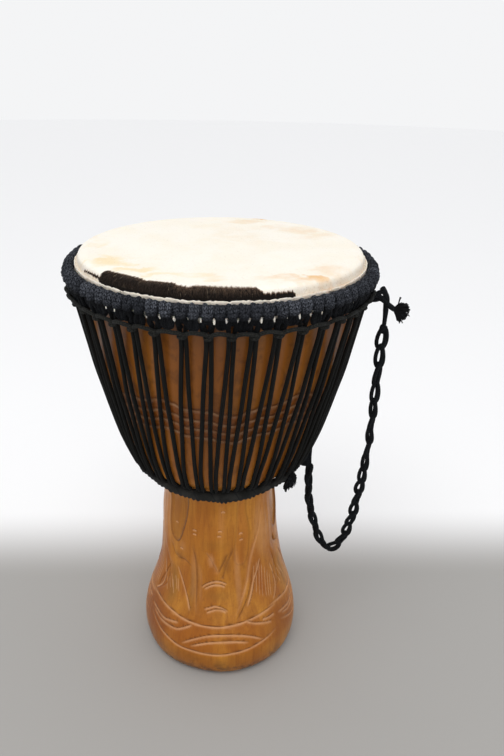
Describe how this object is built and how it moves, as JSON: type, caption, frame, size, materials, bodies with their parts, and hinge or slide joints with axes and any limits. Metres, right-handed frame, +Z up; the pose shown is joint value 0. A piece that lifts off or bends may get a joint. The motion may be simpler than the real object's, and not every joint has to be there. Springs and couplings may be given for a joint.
{
  "type": "goblet hand drum",
  "caption": "Carved wooden goblet drum with a laced goatskin head, rope-bound rings and a braided rope strap.",
  "frame": {"origin": "centre of the foot's standing rim, on the floor", "axes": "+Z up along the drum's axis to the head, -Y towards the carved front, +X towards the hanging strap"},
  "size_m": [0.4139, 0.3726, 0.5779],
  "materials": {
    "wood": "varnished light hardwood",
    "goatskin": "raw goatskin, shaved, matt to satin",
    "black_rope": "braided synthetic rope, matt",
    "black_binding": "cloth-bound ring, matt"
  },
  "bodies": {
    "root": {"shell": "wood", "drumhead": "goatskin", "crown_ring": "black_rope", "weave_rope": "black_rope", "lacing": "black_rope", "bottom_ring": "black_binding", "strap": "black_rope", "strap_tail": "black_rope", "ring_tail": "black_rope"}
  },
  "joints": []
}
